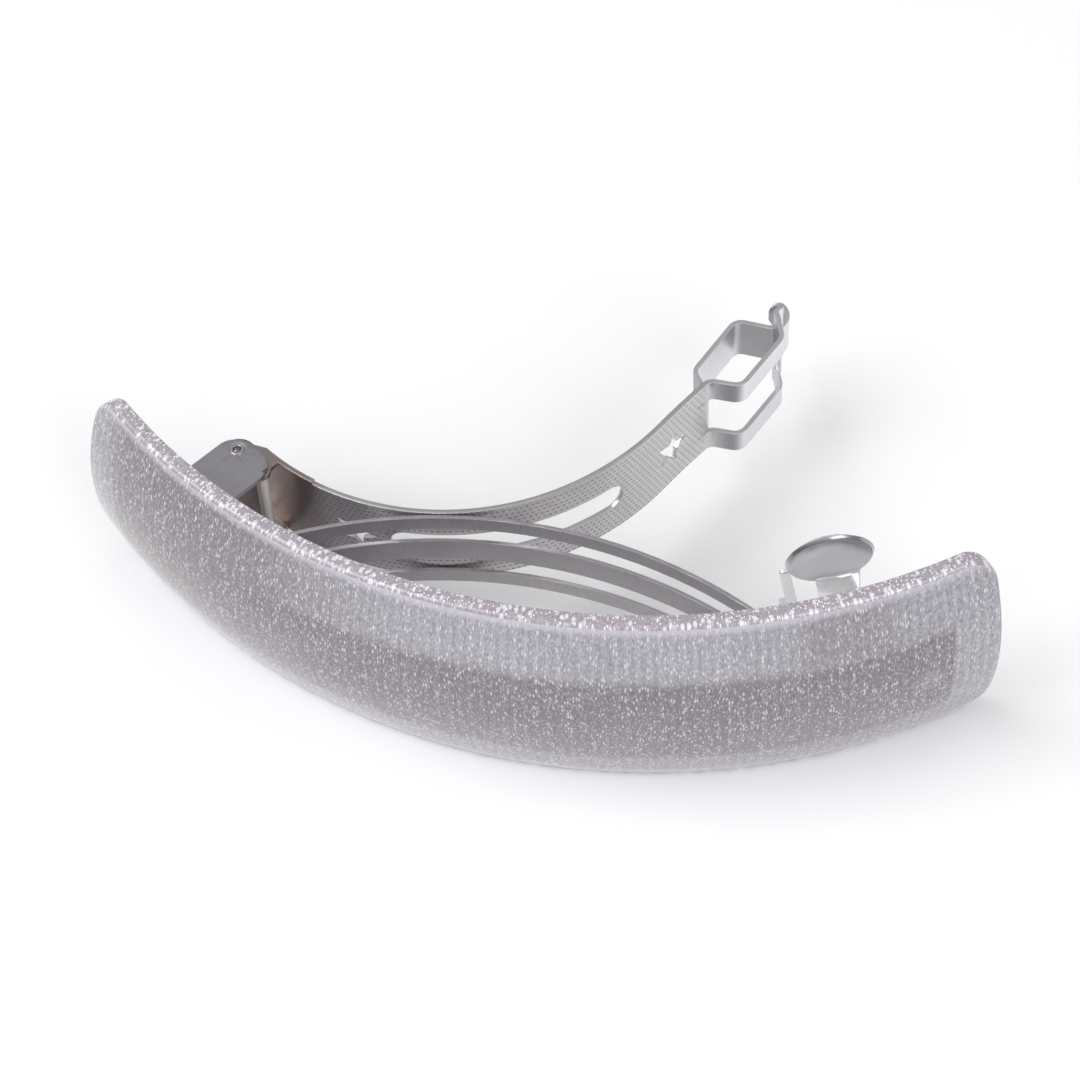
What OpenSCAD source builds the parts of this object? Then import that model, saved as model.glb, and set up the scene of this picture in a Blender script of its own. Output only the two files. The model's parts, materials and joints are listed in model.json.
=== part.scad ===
// French barrette (automatic hair slide): a curved acetate bar with a glitter fabric inlay,
// and a spring-steel clasp on its inner face.
// Frame: X runs along the bar from the hinge end to the catch end, +Y points from the bar
// towards the hair, and Z is the width. The barrette stands on its lower long edge.

/* [Bar] */
// Length of the bar along the bend, on its outer crown
bar_len = 100; // [96:1:104]
// Width of the bar
bar_w = 25; // [24:0.5:27]
// Radius of the bend along the length, on the outer crown
bend_r = 67.5; // [66:0.5:69]
// Radius of the crown across the width
crown_r = 28; // [26:1:34]
// Thickness of the clear face sheet
face_t = 0.6; // [0.4:0.1:0.7]
// Thickness of the fabric inlay
fabric_t = 0.2; // [0.1:0.05:0.3]
// Thickness of the clear back sheet
back_t = 0.6; // [0.4:0.1:0.7]
// Radius of the bar's four corners
corner_r = 3; // [1:0.5:5]

/* [Base strip] */
// Where the strip starts, measured along the bend from the middle
strip_from = -46.5; // [-47:0.5:-44]
// Where the strip ends
strip_to = 44.8; // [44:0.1:47]
// Width of the strip
strip_w = 12.4; // [12:0.1:13]
// Thickness of the strip
strip_t = 0.55; // [0.4:0.05:0.6]
// Height of the hinge axis above the crown of the bar
pivot_d = 11.4; // [11:0.1:12]
// Length of a hinge ear along the strip
ear_len = 6; // [5.5:0.1:6.5]
// Thickness of a hinge ear
ear_t = 0.55; // [0.4:0.05:0.6]

/* [Hinge studs] */
// Radius of a stud
pin_r = 0.72; // [0.6:0.02:0.8]
// Radius of the blind bore in a stud
pin_bore_r = 0.42; // [0.3:0.02:0.5]
// Radial running clearance of the arm on the studs
pin_play = 0.06; // [0.02:0.01:0.1]

/* [Clamp arm] */
// Thickness of the arm
arm_t = 0.5; // [0.4:0.05:0.6]
// Width of the arm
arm_w = 10.4; // [10:0.1:10.6]
// Length of the arm's tightly curved part
arm_arc_len = 32; // [31:0.5:33]
// Angle that the tightly curved part turns through
arm_arc_turn = 73; // [71:0.5:75]
// Length of the gently curved part that follows it
arm_ease_len = 12; // [11:0.5:13]
// Angle that the gently curved part turns through
arm_ease_turn = 24; // [22:0.5:26]
// Length of the arm's straight part, up to the split tip
arm_straight_len = 7.4; // [7:0.1:8]
// Width of the long slot
slot_w = 3.3; // [2.5:0.1:4]
// Point radius of a star cut-out
star_r = 2.4; // [1.5:0.1:2.6]
// Width of the tongue between the two rails of the tip
tongue_w = 4.9; // [4:0.1:5]
// Length of the open cage at the tip
cage_len = 11.1; // [10.5:0.1:11.5]
// Distance of the rails and of the tongue from the middle of the cage
cage_rise = 3.1; // [2.6:0.1:3.3]
// Length of the finger tab
tab_len = 4.4; // [4:0.2:6]
// Width of the finger tab
tab_w = 4.2; // [3.4:0.1:4.6]

/* [Bow spring] */
// Radius of the bow
bow_r = 48; // [47:0.5:49]
// Height of the bow's crest above the crown of the bar
bow_crest_d = 18.7; // [18:0.1:18.8]
// Thickness of the spring
bow_t = 0.4; // [0.3:0.05:0.5]
// Width of the spring
bow_w = 10.4; // [10:0.1:10.6]
// Width of an outer rail
rail_w = 1.7; // [1.4:0.1:2]
// Width of the middle rail
mid_rail_w = 2.8; // [2.4:0.1:3]

/* [Catch] */
// Thickness of the catch's sheet
catch_t = 0.4; // [0.3:0.05:0.5]
// Where the two wings stand along the bend
wing_at = 36.4; // [36:0.1:37]
// Distance from the middle to a wing's inner face
wing_in = 2; // [1.9:0.05:2.1]
// Width of a wing's neck
neck_w = 3.9; // [3.4:0.1:4.2]
// Width of a wing's hooked prong
prong_w = 1; // [0.8:0.1:1.1]
// Rim radius of a finger dish
dish_r = 3.9; // [3.6:0.1:4]
// Radius of the ball that a finger dish is cut from
dish_ball_r = 5.2; // [5:0.1:6]

/* [Rivets] */
// Radius of a rivet's shank
rivet_r = 1.1; // [0.9:0.1:1.3]
// Radius of a rivet's head
rivet_head_r = 1.9; // [1.6:0.1:2.1]
// Thickness of a rivet's head
rivet_head_t = 0.4; // [0.3:0.05:0.4]

/* [Hidden] */
$fn = 64;

bar_t = face_t + fabric_t + back_t;
// Depth of the crown at height w for a sheet surface d below the outer crown
function crown_sag(d, w) = crown_r - sqrt(pow(crown_r - d, 2) - w * w);
edge_y = (crown_sag(0, bar_w / 2) + crown_sag(bar_t, bar_w / 2)) / 2;
function bend_deg(s) = s / bend_r * 180 / PI;
// A point at length s along the bend and depth d towards the hair
function bend_point(s, d) = [
    (bend_r - d) * sin(bend_deg(s)), bend_r - (bend_r - d) * cos(bend_deg(s))
];

touch_gap = 0.02;
seat_gap = 0.05;
bed_inset = 0.6;
bore_h = 12;
strip_d = crown_sag(bar_t, strip_w / 2) + seat_gap;
strip_top_d = strip_d + strip_t;
ear_at = -37.4;
ear_top_d = 12.75;
ear_out = strip_w / 2;
pivot_s = -38.96;
pivot = bend_point(pivot_s, pivot_d);

// Joins the barrette's own coordinates, whose origin is the outer crown, to the part's frame
module placed()
    translate([0, -edge_y, bar_w / 2])
        children();

// Local frame at length s and depth d: x along the bar, y towards the hair, z across
module at_bend(s, d = 0)
    translate([0, bend_r, 0])
        rotate([0, 0, bend_deg(s)])
            translate([0, d - bend_r, 0])
                children();

// A curved plate from s0 to s1 along the bend, d0 to d1 deep and w0 to w1 across
module bend_plate(s0, s1, d0, d1, w0, w1)
    translate([0, bend_r, 0])
        rotate([0, 0, bend_deg(s0) - 90])
            rotate_extrude(angle = bend_deg(s1 - s0), $fn = 360)
                translate([bend_r - d1, w0])
                    square([d1 - d0, w1 - w0]);

// Turns a flat outline drawn as [along, across] so that it cuts through a sheet
module through_sheet(depth)
    rotate([90, 0, 0])
        linear_extrude(depth, center = true)
            children();

// The waste outside a quarter circle, with its corner at the origin
module round_waste(r)
    difference() {
        translate([-1, -r])
            square([r + 1, r + 1]);
        translate([r, -r])
            circle(r);
    }

// ---- paths and ribbons ----

function heading(pts, i) =
    let(a = pts[max(i - 1, 0)], b = pts[min(i + 1, len(pts) - 1)])
    atan2(b[1] - a[1], b[0] - a[0]);
function side_point(pts, i, off) =
    let(h = heading(pts, i)) [pts[i][0] - off * sin(h), pts[i][1] + off * cos(h)];
// Outline of a strip of thickness t whose middle follows pts
function ribbon(pts, t) = concat(
    [for (i = [0 : len(pts) - 1]) side_point(pts, i, t / 2)],
    [for (i = [len(pts) - 1 : -1 : 0]) side_point(pts, i, -t / 2)]
);
// Points on an arc that starts at p with heading h and turns by turn over the length l
function arc_from(p, h, l, turn, n) =
    let(r = l / (turn * PI / 180))
    [for (i = [0 : n]) [
        p[0] + r * (sin(h + turn * i / n) - sin(h)),
        p[1] - r * (cos(h + turn * i / n) - cos(h))
    ]];
function unit(v) = v / norm(v);
// Rounds the corners of a polyline with radius r
function rounded(pts, r) = [
    for (i = [0 : len(pts) - 1])
        each i == 0 || i == len(pts) - 1 ? [pts[i]] : corner_arc(pts[i - 1], pts[i], pts[i + 1], r)
];
function corner_arc(a, b, c, r) =
    let(
        h0 = atan2(b[1] - a[1], b[0] - a[0]),
        turn0 = atan2(c[1] - b[1], c[0] - b[0]) - h0,
        turn = turn0 > 180 ? turn0 - 360 : turn0 < -180 ? turn0 + 360 : turn0,
        start = b - unit(b - a) * r * tan(abs(turn) / 2)
    )
    arc_from(start, h0, r * abs(turn) * PI / 180, turn, 6);

module sheet_strip(pts, t, w0, w1)
    translate([0, 0, w0])
        linear_extrude(w1 - w0)
            polygon(ribbon(pts, t));

// ---- bar ----

module bar_blank(d0, d1)
    translate([0, bend_r, 0])
        rotate([0, 0, -90 - bend_deg(bar_len / 2)])
            rotate_extrude(angle = bend_deg(bar_len), $fn = 360)
                translate([bend_r - crown_r, 0])
                    intersection() {
                        difference() {
                            circle(crown_r - d0, $fn = 180);
                            circle(crown_r - d1, $fn = 180);
                        }
                        translate([0, -bar_w / 2])
                            square([crown_r + 1, bar_w]);
                    }

module corner_cut()
    difference() {
        translate([0, -1, 0])
            cube([corner_r + 1, bar_t + crown_sag(bar_t, bar_w / 2) + 2, corner_r + 1]);
        rotate([-90, 0, 0])
            cylinder(r = corner_r, h = 20, center = true);
    }

module bar_sheet(d0, d1)
    difference() {
        bar_blank(d0, d1);
        for (end = [0, 1], side = [0, 1])
            mirror([end, 0, 0])
                mirror([0, 0, side])
                    at_bend(bar_len / 2)
                        translate([-corner_r, 0, bar_w / 2 - corner_r])
                            corner_cut();
    }

module bar_face_sheet()
    color([0.80, 0.78, 0.82, 0.4])
        placed()
            bar_sheet(0, face_t);

module bar_glitter_fabric()
    color([0.62, 0.58, 0.60])
        placed()
            bar_sheet(face_t, face_t + fabric_t);

module bar_back_sheet()
    color([0.80, 0.78, 0.82, 0.4])
        placed()
            bar_sheet(face_t + fabric_t, bar_t);

// Fills the hollow between the crowned back sheet and the flat strip
module adhesive_bed()
    color([0.75, 0.72, 0.70])
        placed()
            difference() {
                bend_plate(strip_from + 1, strip_to - 1, bar_t, strip_d, bed_inset - strip_w / 2,
                    strip_w / 2 - bed_inset);
                bar_blank(face_t, bar_t + touch_gap);
                for (s = [spring_rivet_at, eyelet_at])
                    at_bend(s)
                        rotate([90, 0, 0])
                            cylinder(r = rivet_head_r + 0.1, h = bore_h, center = true);
            }

// ---- base strip ----

ear_round_r = 2.2;
ear_step = 0.5;
ear_step_drop = 1.4;
pivot_in_ear = [
    -(bend_r - pivot_d) * sin(bend_deg(ear_at - pivot_s)),
    bend_r - (bend_r - pivot_d) * cos(bend_deg(ear_at - pivot_s))
];
spring_rivet_at = -33.2;
eyelet_at = 42.4;

module ear_outline()
    difference() {
        translate([-ear_len / 2, strip_d])
            square([ear_len, ear_top_d - strip_d]);
        translate([-ear_len / 2, ear_top_d])
            round_waste(ear_round_r);
        translate([ear_len / 2, ear_top_d])
            mirror([1, 0])
                round_waste(ear_round_r);
        translate([ear_len / 2 - ear_step, ear_top_d - ear_step_drop])
            square([2 * ear_step, 2 * ear_step_drop]);
        translate([pivot_in_ear[0], pivot_in_ear[1]])
            circle(pin_r + touch_gap);
    }

module hinge_ear()
    at_bend(ear_at)
        translate([0, 0, ear_out - ear_t])
            linear_extrude(ear_t)
                ear_outline();

// Clearance bore for a rivet's shank, through everything above and below
module rivet_bore()
    rotate([90, 0, 0])
        cylinder(r = rivet_r + touch_gap, h = bore_h, center = true);

module base_strip()
    color("silver")
        placed()
            difference() {
                union() {
                    bend_plate(strip_from, strip_to, strip_d, strip_top_d, -strip_w / 2, strip_w / 2);
                    for (side = [0, 1])
                        mirror([0, 0, side])
                            hinge_ear();
                }
                for (s = [spring_rivet_at, eyelet_at])
                    at_bend(s)
                        rivet_bore();
            }

// How far a stud stands out at each end, and the floor of its bore
stud_over = 0.1;
stud_floor = 0.3;

// A short tubular stud through one ear and the arm's flange behind it
module hinge_stud()
    translate([pivot[0], pivot[1], arm_hinge_w / 2 - arm_flange_t - stud_over])
        difference() {
            cylinder(r = pin_r, h = ear_out - arm_hinge_w / 2 + arm_flange_t + 2 * stud_over);
            translate([0, 0, stud_floor])
                cylinder(r = pin_bore_r, h = ear_out);
        }

module hinge_stud_upper()
    color("gainsboro")
        placed()
            hinge_stud();

module hinge_stud_lower()
    color("gainsboro")
        placed()
            mirror([0, 0, 1])
                hinge_stud();

// ---- clamp arm ----

arm_start = [-28.2, 21.6];
arm_start_heading = -32.5;
arc_steps = 30;
ease_steps = 10;
straight_steps = 4;
arm_arc = arc_from(arm_start, arm_start_heading, arm_arc_len, arm_arc_turn, arc_steps);
ease_heading = arm_start_heading + arm_arc_turn;
arm_ease = arc_from(arm_arc[arc_steps], ease_heading, arm_ease_len, arm_ease_turn, ease_steps);
straight_heading = ease_heading + arm_ease_turn;
straight_turn = -4;
arm_straight = arc_from(arm_ease[ease_steps], straight_heading, arm_straight_len, straight_turn,
    straight_steps);
cage_root = arm_straight[straight_steps];
arm_path = concat(
    arm_arc,
    [for (i = [1 : ease_steps]) arm_ease[i]],
    [for (i = [1 : straight_steps]) arm_straight[i]]
);
cage_heading = 69;
// A point of the cage: u along it and v away from its middle
function cage_point(u, v) = cage_root + [
    u * cos(cage_heading) - v * sin(cage_heading), u * sin(cage_heading) + v * cos(cage_heading)
];
cage_nose = cage_point(cage_len, -0.7);
back_off = arm_path[len(arm_path) - 3];
bend_small_r = 1.3;
rail_path = rounded([
    back_off, cage_root, cage_point(1.2, -cage_rise), cage_point(cage_len - 2.5, -cage_rise),
    cage_point(cage_len - 0.3, -1.1)
], bend_small_r);
tongue_path = rounded([
    back_off, cage_root, cage_point(2, cage_rise), cage_point(cage_len - 1.3, cage_rise + 0.1),
    cage_nose, cage_point(cage_len + 0.9, -0.85)
], bend_small_r);
nose_path = rounded([
    cage_point(cage_len - 0.9, -1.75), cage_nose, cage_point(cage_len + 0.9, -0.85)
], 0.6);
tab_curl = 128;
tab_steps = 20;
tab_path = concat(
    [cage_point(cage_len - 0.1, -0.7)],
    arc_from(cage_point(cage_len + 1, -0.93), cage_heading - 9, tab_len, tab_curl, tab_steps)
);
rail_in = tongue_w / 2 + 0.15;
arm_hinge_w = 2 * (ear_out - ear_t) - 0.3;
arm_flange_t = 0.5;
heel_roll = [-27.8, 19.0];
heel_roll_r = 0.52;
slot_first = 15;
slot_last = 34;
web_last = len(arm_path) - 2;
star_near = 10;
star_ahead = 1.4;
tab_round_r = 1.9;
tab_cut = 2.4;
// The arm's sheet goes on below the hinge axis as a short flap
flap_path = [heel_roll, heel_roll + [-1.9, -0.5], heel_roll + [-3.2, -1.6]];
flap_w = 9.2;
flange_nose_r = 1.85;
flange_heel_r = 0.95;

module star(r)
    polygon([for (i = [0 : 9]) (i % 2 == 0 ? r : r * 0.42) * [cos(36 * i), sin(36 * i)]]);

// Local frame at point i of the arm: x along it, y out of its face, z across
module at_arm(i)
    translate([arm_path[i][0], arm_path[i][1], 0])
        rotate([0, 0, heading(arm_path, i)])
            children();

module arm_flange()
    linear_extrude(arm_flange_t)
        difference() {
            union() {
                translate(pivot)
                    circle(flange_nose_r);
                translate(heel_roll)
                    circle(flange_heel_r);
                polygon([
                    pivot + [-0.9, 1.6], arm_start + [0.1, 0.2], arm_arc[2] + [0, 0.15], arm_arc[2],
                    heel_roll + [0.85, 0.4], heel_roll + [-0.3, -0.9], pivot + [-0.6, -1.75]
                ]);
            }
            translate(pivot)
                circle(pin_r + pin_play);
        }

module arm_web()
    difference() {
        union() {
            sheet_strip([for (i = [0 : web_last]) arm_path[i]], arm_t, -arm_w / 2, arm_w / 2);
            sheet_strip([for (i = [0 : 6]) arm_arc[i]], arm_t, -arm_hinge_w / 2, arm_hinge_w / 2);
        }
        sheet_strip([for (i = [slot_first : slot_last]) arm_path[i]], 4, -slot_w / 2, slot_w / 2);
        for (i = [slot_first, slot_last])
            at_arm(i)
                rotate([90, 0, 0])
                    cylinder(d = slot_w, h = 4, center = true);
        at_arm(star_near)
            through_sheet(4)
                star(star_r);
        at_arm(arc_steps + ease_steps)
            translate([star_ahead, 0, 0])
                through_sheet(4)
                    star(star_r);
    }

// The tab's round end is cut square to the cage's middle line
module finger_tab()
    difference() {
        sheet_strip(tab_path, arm_t, -tab_w / 2, tab_w / 2);
        for (side = [0, 1])
            mirror([0, 0, side])
                at_tab_end()
                    translate([0, 0, tab_w / 2])
                        rotate([90, 90, 0])
                            linear_extrude(tab_cut, center = true)
                                round_waste(tab_round_r);
    }

// Local frame at the end of the tab: x along it, z across
module at_tab_end() {
    last = len(tab_path) - 1;
    translate([tab_path[last][0], tab_path[last][1], 0])
        rotate([0, 0, heading(tab_path, last - 3)])
            children();
}

module clamp_arm()
    color("silver")
        placed()
            union() {
                arm_web();
                for (side = [0, 1])
                    mirror([0, 0, side]) {
                        translate([0, 0, arm_hinge_w / 2 - arm_flange_t])
                            arm_flange();
                        sheet_strip(rail_path, arm_t, rail_in, arm_w / 2);
                    }
                translate([heel_roll[0], heel_roll[1], 0])
                    cylinder(r = heel_roll_r, h = arm_hinge_w - 0.4, center = true);
                sheet_strip(flap_path, arm_t, -flap_w / 2, flap_w / 2);
                sheet_strip(tongue_path, arm_t, -tongue_w / 2, tongue_w / 2);
                sheet_strip(nose_path, arm_t, -arm_w / 2, arm_w / 2);
                finger_tab();
            }

// ---- bow spring ----

bow_centre = [0.7, bow_crest_d - bow_r];
bow_half_deg = 36.4;
foot_d = strip_top_d + bow_t / 2 + touch_gap;
bow_arc = [
    for (a = [-bow_half_deg + 2 : 2.3 : bow_half_deg - 2])
        bow_centre + bow_r * [sin(a), cos(a)]
];
foot_path = [for (s = [-35.6 : 0.8 : -30.2]) bend_point(s, foot_d)];
toe_path = [for (s = [29.6 : 0.6 : 31.4]) bend_point(s, foot_d)];
bow_path = concat(foot_path, bow_arc, toe_path);
window_from = -26.2;
window_to = 22.4;
toe_window_from = 23.6;

module bow_window(x0, x1, w0, w1)
    translate([x0, -2, w0])
        cube([x1 - x0, 30, w1 - w0]);

module bow_spring()
    color("silver")
        placed()
            difference() {
                sheet_strip(bow_path, bow_t, -bow_w / 2, bow_w / 2);
                for (side = [0, 1])
                    mirror([0, 0, side])
                        bow_window(window_from, window_to, mid_rail_w / 2, bow_w / 2 - rail_w);
                bow_window(toe_window_from, 40, rail_w - bow_w / 2, bow_w / 2 - rail_w);
                at_bend(spring_rivet_at)
                    rivet_bore();
            }

// A rivet through the strip: a flat head in the adhesive's hollow and a low head on top
module rivet(s, top_d, bore_r)
    at_bend(s)
        rotate([-90, 0, 0])
            difference() {
                union() {
                    translate([0, 0, strip_d - rivet_head_t - 0.05])
                        cylinder(r = rivet_head_r, h = rivet_head_t);
                    translate([0, 0, strip_d - 0.1])
                        cylinder(r = rivet_r, h = top_d - strip_d + 0.2);
                    translate([0, 0, top_d + 0.06])
                        cylinder(r = rivet_head_r, h = rivet_head_t);
                }
                if (bore_r > 0)
                    cylinder(r = bore_r, h = 20);
            }

module spring_rivet()
    color("gainsboro")
        placed()
            rivet(spring_rivet_at, strip_top_d + bow_t, 0);

// ---- catch ----

saddle_top_d = strip_top_d + catch_t;
wing_root_d = saddle_top_d + 0.05;
wing_lean = -8;
dish_d = 12.1;
dish_tilt = -8;
saddle_from = 31.2;
saddle_foot_at = 39.3;
saddle_w = 9;

// A plate with a narrow waist between the wings and a wide foot around the eyelet
module catch_saddle()
    color("silver")
        placed()
            difference() {
                bend_plate(saddle_from, strip_to - 0.3, strip_top_d, saddle_top_d, -saddle_w / 2,
                    saddle_w / 2);
                for (side = [0, 1])
                    mirror([0, 0, side])
                        at_bend(saddle_foot_at)
                            translate([-saddle_w - 4, 0, wing_in + catch_t])
                                cube([saddle_w + 4, 2 * saddle_top_d, saddle_w]);
                at_bend(eyelet_at)
                    rivet_bore();
            }

// Places along a wing of its prong's middle, its neck's edge and its dish's middle
prong_x = -5.15;
neck_x = -2.3;
dish_x = -1.05;
// Height of the band that joins a wing's prong and neck
wing_foot_h = 1.6;
// Heights of a prong's top and of its barb above the dish's rim
prong_over = 2.45;
barb_over = 1.65;

// Flat blank of a wing, seen along Z, with the height measured from the wing's root
module wing_outline() {
    neck_h = dish_d - wing_root_d;
    translate([prong_x - prong_w / 2, 0])
        square([neck_x + neck_w - prong_x + prong_w / 2, wing_foot_h]);
    translate([neck_x, 0])
        square([neck_w, neck_h + 0.7]);
    translate([prong_x - prong_w / 2, 0])
        square([prong_w, neck_h + prong_over]);
}

// Height of a dish's rim above the middle of its ball
dish_rim_up = sqrt(pow(dish_ball_r, 2) - pow(dish_r, 2));

module dish()
    difference() {
        sphere(r = dish_ball_r, $fn = 96);
        sphere(r = dish_ball_r - catch_t, $fn = 96);
        translate([-10, dish_rim_up - 20, -10])
            cube(20);
    }

module wing() {
    dish_w = wing_in + dish_r + 0.15;
    at_bend(wing_at, wing_root_d)
        difference() {
            rotate([0, 0, wing_lean]) {
                translate([0, 0, wing_in])
                    linear_extrude(catch_t)
                        wing_outline();
                translate([dish_x, dish_d - wing_root_d, dish_w])
                    rotate([-dish_tilt, 0, 0])
                        translate([0, -dish_rim_up, 0])
                            dish();
                translate([prong_x - prong_w / 2, dish_d - wing_root_d + barb_over, wing_in])
                    barb();
            }
            translate([-10, -5, 0])
                cube([20, 5, 6]);
        }
}

// Outward step at the top of a prong that holds a rail of the arm
module barb()
    rotate([90, 0, 90])
        linear_extrude(prong_w)
            polygon([[0, 0], [0, catch_t + 0.5], [0.15, catch_t + 0.5], [0.8, catch_t], [0.8, 0]]);

module catch_wing_upper()
    color("silver")
        placed()
            wing();

module catch_wing_lower()
    color("silver")
        placed()
            mirror([0, 0, 1])
                wing();

module catch_eyelet()
    color("gainsboro")
        placed()
            rivet(eyelet_at, saddle_top_d, 0.75);

bar_face_sheet();
bar_glitter_fabric();
bar_back_sheet();
adhesive_bed();
base_strip();
hinge_stud_upper();
hinge_stud_lower();
clamp_arm();
bow_spring();
spring_rivet();
catch_saddle();
catch_wing_upper();
catch_wing_lower();
catch_eyelet();
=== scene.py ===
"""An open French barrette: a glitter acetate bar with a sprung steel clasp on its inner face."""

import json
import logging
import math
from collections.abc import Callable
from dataclasses import dataclass
from enum import Enum

import bmesh
import bpy
from mathutils import Matrix, Vector


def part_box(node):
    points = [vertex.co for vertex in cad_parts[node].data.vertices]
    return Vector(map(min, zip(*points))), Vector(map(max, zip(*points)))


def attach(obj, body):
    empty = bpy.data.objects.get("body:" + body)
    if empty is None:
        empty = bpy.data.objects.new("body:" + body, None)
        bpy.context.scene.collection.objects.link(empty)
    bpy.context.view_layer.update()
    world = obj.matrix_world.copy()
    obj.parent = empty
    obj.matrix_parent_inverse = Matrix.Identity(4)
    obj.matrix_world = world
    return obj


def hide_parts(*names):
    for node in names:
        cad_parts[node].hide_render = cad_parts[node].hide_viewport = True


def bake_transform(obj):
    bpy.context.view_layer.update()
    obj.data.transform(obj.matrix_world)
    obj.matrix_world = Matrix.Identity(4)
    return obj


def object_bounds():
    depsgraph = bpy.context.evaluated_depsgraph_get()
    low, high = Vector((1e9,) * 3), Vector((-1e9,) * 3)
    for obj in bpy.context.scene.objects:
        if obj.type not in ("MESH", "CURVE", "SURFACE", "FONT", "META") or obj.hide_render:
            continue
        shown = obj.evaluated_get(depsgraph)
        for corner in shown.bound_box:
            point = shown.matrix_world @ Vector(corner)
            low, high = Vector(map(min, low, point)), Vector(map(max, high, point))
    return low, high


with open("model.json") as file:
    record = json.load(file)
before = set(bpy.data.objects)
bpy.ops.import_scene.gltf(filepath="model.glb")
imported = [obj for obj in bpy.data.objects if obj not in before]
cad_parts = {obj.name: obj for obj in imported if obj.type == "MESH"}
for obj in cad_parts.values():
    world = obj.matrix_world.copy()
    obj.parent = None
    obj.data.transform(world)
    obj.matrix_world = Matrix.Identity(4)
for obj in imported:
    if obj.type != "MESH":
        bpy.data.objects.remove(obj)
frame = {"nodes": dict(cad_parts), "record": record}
CAD_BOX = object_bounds()

log = logging.getLogger("barrette")

MM = 0.001
BAR_BODY = "bar"
ARM_BODY = "arm"
MID_Z = (CAD_BOX[0][2] + CAD_BOX[1][2]) / 2
SHARP_DEG = 32.0  # edges above this angle are shaded sharp
CUT_GAP = 0.0001 * MM  # points this near a cutting plane count as on it

# The glitter fabric's pattern, in millimetres.
RIB_PITCH = 1.07
DOT_ROW_PITCH = 2.5
DOT_COLUMN_PITCH = 2.14

BMesh, BMVert, BMEdge = bmesh.types.BMesh, bmesh.types.BMVert, bmesh.types.BMEdge
Material, Object = bpy.types.Material, bpy.types.Object
Node, NodeTree, Socket = bpy.types.Node, bpy.types.NodeTree, bpy.types.NodeSocket
Colour = tuple[float, float, float]
Move = Callable[[Vector], Vector]


class Rim(Enum):
    """Which rim of a bar sheet is polished round."""

    OUTER = "outer"
    INNER = "inner"
    NONE = "none"


class Sharpness(Enum):
    """How a steel piece's edges are softened, as the bevel's width in metres."""

    STAMPED = 0.03 * MM
    POLISHED = 0.06 * MM


# ---- node helpers ----


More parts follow.
